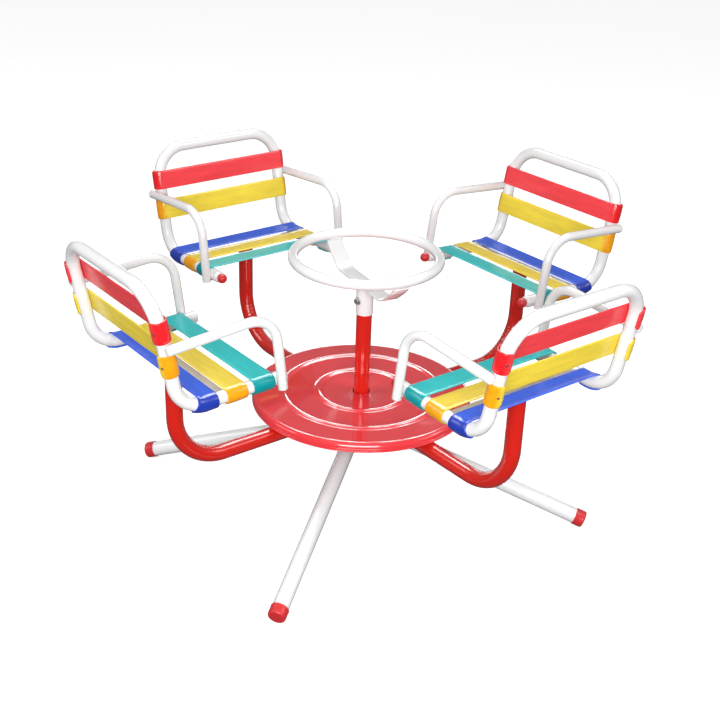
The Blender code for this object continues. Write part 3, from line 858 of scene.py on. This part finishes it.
def disc_line():
    """The disc's upper surface as (radius, height), from the pole's hole out and down to the edge."""
    line = [(POLE_HOLE_RADIUS, DISC_CROWN - 0.0016), (POLE_HOLE_RADIUS + 0.0006, DISC_CROWN - 0.0004),
            (POLE_HOLE_RADIUS + 0.0016, DISC_CROWN)]
    for radius in RIDGE_RADII:
        for step in range(17):
            offset = -1.0 + step / 8
            height = 0.5 + 0.5 * math.cos(math.pi * offset)
            line.append((radius + offset * RIDGE_HALF_WIDTH, DISC_CROWN + height * RIDGE_HEIGHT))
    roll = 0.012
    for step in range(13):
        swing = math.radians(90.0 - 90.0 * step / 12)
        line.append((DISC_RADIUS - roll + roll * math.cos(swing), DISC_CROWN - roll + roll * math.sin(swing)))
    return line


def disc():
    """Pressed disc with two raised rings, a rolled edge and a hemmed lower lip."""
    line = disc_line()
    hem = 0.0019
    foot = -SKIRT_DEPTH + hem
    under = [(radius, height - DISC_SHEET) for radius, height in line if radius < DISC_RADIUS - 0.012]
    inner_roll = 0.012 - DISC_SHEET
    for step in range(9):
        swing = math.radians(90.0 - 90.0 * step / 8)
        under.append((DISC_RADIUS - 0.012 + inner_roll * math.cos(swing),
                      DISC_CROWN - 0.012 + inner_roll * math.sin(swing)))
    groove = 0.0011
    edge = DISC_CROWN - 0.012
    outer = [(DISC_RADIUS - 0.0001, edge - 0.0006), (DISC_RADIUS - groove, edge - 0.0014),
             (DISC_RADIUS - groove, edge - 0.0022), (DISC_RADIUS - 0.0002, edge - 0.0030),
             (DISC_RADIUS - 0.0012, foot + hem * 1.3)]
    for step in range(11):
        swing = math.radians(75.0 - 255.0 * step / 10)
        outer.append((DISC_RADIUS - hem + hem * math.cos(swing), foot + hem * math.sin(swing)))
    profile = [(r, z + DISC_HEIGHT) for r, z in line + outer + under[::-1]]
    form = turned(bmesh.new(), profile, 180, closed=True)
    to_piece(form, "disc_pressing", "disc_enamel", "rotor", ("disc",), sharp=50.0)


def rotor_hub():
    """The bearing sleeve under the disc."""
    inner = POLE_RADIUS + BEARING_CLEARANCE
    profile = softened([(inner, ROTOR_HUB_FOOT), (ROTOR_HUB_RADIUS, ROTOR_HUB_FOOT),
                        (ROTOR_HUB_RADIUS, ROTOR_HUB_TOP), (inner, ROTOR_HUB_TOP)], 0.0012, closed=True)
    form = turned(bmesh.new(), [(r, z + DISC_HEIGHT) for r, z in profile], 72, closed=True)
    to_piece(form, "rotor_hub_sleeve", "red_paint", "rotor", ("rotor_hub",))


# Base

def leg_line(angle, reach):
    """The leg's direction, and the middle of its tube's outer end, inside its cap."""
    swing = math.radians(angle)
    outer = Vector((reach * math.cos(swing), reach * math.sin(swing), DISC_HEIGHT + LEG_END_HEIGHT))
    direction = (outer - Vector((0.0, 0.0, DISC_HEIGHT + LEG_START_HEIGHT))).normalized()
    return direction, outer - direction * LEG_SHORT_OF_REACH


def base():
    """The fixed hub with its four sloping legs welded on."""
    profile = softened([(POLE_RADIUS + GAP, BASE_HUB_FOOT), (BASE_HUB_RADIUS, BASE_HUB_FOOT),
                        (BASE_HUB_RADIUS, BASE_HUB_TOP), (POLE_RADIUS + GAP, BASE_HUB_TOP)], 0.0015, closed=True)
    form = turned(bmesh.new(), [(r, z + DISC_HEIGHT) for r, z in profile], 72, closed=True)
    origin = Vector((0.0, 0.0, DISC_HEIGHT + LEG_START_HEIGHT))
    for angle, reach in LEGS:
        direction, end = leg_line(angle, reach)
        bar(form, [origin + direction * 0.024, end], MAIN_TUBE_RADIUS, 36)
        seam = seam_with_hub(origin, direction, MAIN_TUBE_RADIUS, BASE_HUB_RADIUS)
        weld_bead(form, seam, 0.0026)
    to_piece(form, "base_legs_and_hub", "white_paint", "base", ("base_frame",))


def leg_caps():
    """A moulded cup over each leg's end, flat where it stands on the ground."""
    inner = MAIN_TUBE_RADIUS + GAP
    outer = inner + LEG_CAP_WALL
    rim = LEG_CAP_END - LEG_CAP_LENGTH
    lip = 0.0004
    round_end = 0.0045
    for number, (angle, reach) in enumerate(LEGS, start=1):
        direction, end = leg_line(angle, reach)
        profile = [(0.0, GAP), (inner, GAP), (inner, rim + lip), (inner + lip, rim),
                   (outer, rim), (outer + lip, rim + lip), (outer + lip, rim + 5 * lip),
                   (outer, rim + 7 * lip), (outer, LEG_CAP_END - round_end)]
        for step in range(1, 10):
            swing = math.radians(10.0 * step)
            profile.append((outer - round_end * (1 - math.cos(swing)),
                            LEG_CAP_END - round_end * (1 - math.sin(swing))))
        profile.append((0.0, LEG_CAP_END))
        turn = direction.to_track_quat("Z", "Y").to_matrix().to_4x4()
        form = turned(bmesh.new(), profile, 48, Matrix.Translation(end) @ turn)
        for point in form.verts:
            point.co.z = max(point.co.z, 0.0)
        to_piece(form, "leg_cap_moulded_" + str(number), "red_plastic", "base", ("leg_cap_" + str(number),))


def pole():
    foot = DISC_HEIGHT + BASE_HUB_FOOT
    top = DISC_HEIGHT + WHEEL_HUB_HEIGHT - GAP
    form = bar(bmesh.new(), [Vector((0, 0, foot)), Vector((0, 0, top))], POLE_RADIUS, 56)
    to_piece(form, "centre_pole", "red_paint", "base", ("pole",))


# Hand wheel

def wheel_rim():
    points = []
    for index in range(144):
        swing = 2 * math.pi * index / 144
        points.append(Vector((WHEEL_RADIUS * math.cos(swing), WHEEL_RADIUS * math.sin(swing),
                              DISC_HEIGHT + WHEEL_HEIGHT)))
    rings = tube_rings(points, WHEEL_TUBE_RADIUS, 32, Vector((0.0, 0.0, 1.0)), closed=True)
    to_piece(skin(bmesh.new(), rings, closed=True), "hand_wheel_rim", "white_paint", "base", ("wheel_rim",))


def wheel_spoke():
    """A flat strip, low in the middle and bent up to the rim, with a weld at each end and at the socket."""
    low = WHEEL_HUB_HEIGHT + GAP + SPOKE_SHEET / 2
    high = WHEEL_HEIGHT - WHEEL_TUBE_RADIUS - GAP - SPOKE_SHEET / 2
    half = [(SPOKE_FLAT, low), (SPOKE_SHOULDER, low + SPOKE_RISE), (WHEEL_RADIUS + 0.001, high)]
    corners = [Vector((-a, 0.0, b + DISC_HEIGHT)) for a, b in reversed(half)]
    corners += [Vector((a, 0.0, b + DISC_HEIGHT)) for a, b in half]
    shoulder_bend = 0.050
    flat_bend = 0.055
    path = bent_path(corners, (shoulder_bend, flat_bend, flat_bend, shoulder_bend), 12)
    outline = softened([(-SPOKE_WIDTH / 2, -SPOKE_SHEET / 2), (SPOKE_WIDTH / 2, -SPOKE_SHEET / 2),
                        (SPOKE_WIDTH / 2, SPOKE_SHEET / 2), (-SPOKE_WIDTH / 2, SPOKE_SHEET / 2)], 0.0012, closed=True)
    rings = []
    for index, point in enumerate(path):
        before = path[max(index - 1, 0)]
        after = path[min(index + 1, len(path) - 1)]
        tangent = (after - before).normalized()
        up = tangent.cross(SEAT_CROSS) * -1.0
        rings.append([point + SEAT_CROSS * a + up * b for a, b in outline])
    form = skin(bmesh.new(), rings)
    for sideways in SIDES.values():
        for inward in (-1.0, 1.0):
            centre = Vector((sideways * (WHEEL_RADIUS + inward * 0.0035 - 0.003), 0.0,
                             DISC_HEIGHT + WHEEL_HEIGHT - WHEEL_TUBE_RADIUS + 0.0004))
            ends = [centre - SEAT_CROSS * SPOKE_WIDTH * 0.42, centre + SEAT_CROSS * SPOKE_WIDTH * 0.42]
            weld_bead(form, ends, 0.0017, closed=False)
    form.transform(Matrix.Rotation(math.radians(SPOKE_ANGLE), 4, "Z"))
    to_piece(form, "hand_wheel_spoke", "white_paint", "base", ("wheel_spoke",))


def wheel_socket():
    """The tube under the wheel that slips over the pole."""
    profile = softened([(POLE_RADIUS + GAP, SOCKET_FOOT), (SOCKET_RADIUS, SOCKET_FOOT),
                        (SOCKET_RADIUS, WHEEL_HUB_HEIGHT), (POLE_RADIUS + GAP, WHEEL_HUB_HEIGHT)], 0.0006, closed=True)
    form = turned(bmesh.new(), [(r, z + DISC_HEIGHT) for r, z in profile], 56, closed=True)
    ring = []
    for index in range(70):
        swing = 2 * math.pi * index / 70
        ring.append(Vector((SOCKET_RADIUS * math.cos(swing), SOCKET_RADIUS * math.sin(swing),
                            DISC_HEIGHT + WHEEL_HUB_HEIGHT - 0.0008)))
    weld_bead(form, ring, 0.0018)
    to_piece(form, "hand_wheel_socket", "white_paint", "base", ("wheel_socket",))


def clamp_bolt():
    place = (Matrix.Rotation(math.radians(CLAMP_ANGLE), 4, "Z")
             @ Matrix.Translation((SOCKET_RADIUS + GAP, 0.0, DISC_HEIGHT + CLAMP_HEIGHT))
             @ Matrix.Rotation(math.pi / 2, 4, "Y"))
    form = hexagon_bolt(bmesh.new(), place, 0.013, 0.0055, 0.009)
    to_piece(form, "clamp_bolt_hexagon", "zinc", "base", ("clamp_bolt",), look=BRIGHT_ZINC)


# Studio

def studio_floor():
    """A plain white floor that rises into a wall far behind. Only the camera sees it, so what the pieces
    reflect is the surround alone."""
    flat = 9.0
    bend = 3.0
    wall = 9.0
    profile = [(0.0, 0.0), (flat, 0.0)]
    for step in range(1, 13):
        swing = math.radians(7.5 * step)
        profile.append((flat + bend * math.sin(swing), bend * (1 - math.cos(swing))))
    profile.append((flat + bend, wall))
    form = turned(bmesh.new(), profile, 96)
    mesh = bpy.data.meshes.new("floor")
    form.to_mesh(mesh)
    form.free()
    mesh.polygons.foreach_set("use_smooth", [True] * len(mesh.polygons))
    mesh.materials.append(floor_paint())
    floor = bpy.data.objects.new("floor", mesh)
    bpy.context.scene.collection.objects.link(floor)
    floor.visible_diffuse = False
    floor.visible_glossy = False
    floor.visible_transmission = False
    floor.visible_shadow = False


def spread_value(tree, value, start, end, low, high):
    """A value spread smoothly between two others."""
    spread = tree.nodes.new("ShaderNodeMapRange")
    spread.interpolation_type = "SMOOTHSTEP"
    spread.inputs["From Min"].default_value = start
    spread.inputs["From Max"].default_value = end
    spread.inputs["To Min"].default_value = low
    spread.inputs["To Max"].default_value = high
    tree.links.new(value, spread.inputs["Value"])
    return spread.outputs["Result"]


def surround():
    """A surround that is bright overhead, dim all round and darkest below."""
    world = bpy.data.worlds.new("studio_surround")
    world.use_nodes = True
    bpy.context.scene.world = world
    tree = world.node_tree
    backdrop = tree.nodes["Background"]
    split = tree.nodes.new("ShaderNodeSeparateXYZ")
    tree.links.new(tree.nodes.new("ShaderNodeTexCoord").outputs["Generated"], split.inputs["Vector"])
    low = spread_value(tree, split.outputs["Z"], -0.15, 0.10, SURROUND_BELOW, SURROUND_LEVEL)
    high = spread_value(tree, split.outputs["Z"], 0.35, 0.85, 0.0, SURROUND_ABOVE - SURROUND_LEVEL)
    total = tree.nodes.new("ShaderNodeMath")
    total.operation = "ADD"
    tree.links.new(low, total.inputs[0])
    tree.links.new(high, total.inputs[1])
    tree.links.new(total.outputs["Value"], backdrop.inputs["Strength"])
    backdrop.inputs["Color"].default_value = (1.0, 1.0, 1.0, 1.0)


def soft_box(name, place, size, power):
    """A rectangular lamp that faces the object. Its place is (right, away, up) as the camera sees it."""
    lamp = bpy.data.lights.new(name, "AREA")
    lamp.shape = "RECTANGLE"
    lamp.size, lamp.size_y = size
    lamp.energy = power
    item = bpy.data.objects.new(name, lamp)
    bpy.context.scene.collection.objects.link(item)
    item.location = Matrix.Rotation(CAMERA_AZIMUTH, 3, "Z") @ Vector(place)
    item.rotation_euler = (item.location - Vector((0.0, 0.0, DISC_HEIGHT))).to_track_quat("Z", "Y").to_euler()
    return item


def studio():
    studio_floor()
    surround()
    for name, (place, size, power) in SOFT_BOXES.items():
        soft_box(name, place, size, power)
    for name, (place, size, power) in SHEEN_BOXES.items():
        soft_box(name, place, size, power).visible_diffuse = False


def camera():
    """The camera at the photograph's place, aim and roll."""
    turn = Matrix.Rotation(CAMERA_AZIMUTH, 3, "Z")
    lift = Vector((0.0, 0.0, DISC_HEIGHT))
    eye = Vector((0.0, -CAMERA_DISTANCE * math.cos(CAMERA_ELEVATION), CAMERA_DISTANCE * math.sin(CAMERA_ELEVATION)))
    ahead = (CAMERA_AIM - eye).normalized()
    level = ahead.cross(Vector((0.0, 0.0, 1.0))).normalized()
    upright = level.cross(ahead)
    across = level * math.cos(CAMERA_ROLL) + upright * math.sin(CAMERA_ROLL)
    up = upright * math.cos(CAMERA_ROLL) - level * math.sin(CAMERA_ROLL)
    axes = [turn @ across, turn @ up, turn @ -ahead]
    rotation = Matrix(axes).transposed().to_4x4()
    data = bpy.data.cameras.new("camera")
    data.sensor_width = CAMERA_SENSOR
    data.lens = CAMERA_FOCAL_LENGTH
    item = bpy.data.objects.new("camera", data)
    bpy.context.scene.collection.objects.link(item)
    item.matrix_world = Matrix.Translation(turn @ eye + lift) @ rotation
    bpy.context.scene.camera = item


def build():
    base()
    leg_caps()
    pole()
    wheel_rim()
    wheel_spoke()
    wheel_socket()
    clamp_bolt()
    rotor_hub()
    disc()
    arms()
    seat_bolts()
    seat_frames()
    straps()
    strap_rivets()
    armrests()
    armrest_bolts()
    rail_caps()
    studio()
    camera()
    bpy.context.scene.view_settings.view_transform = "Standard"


build()
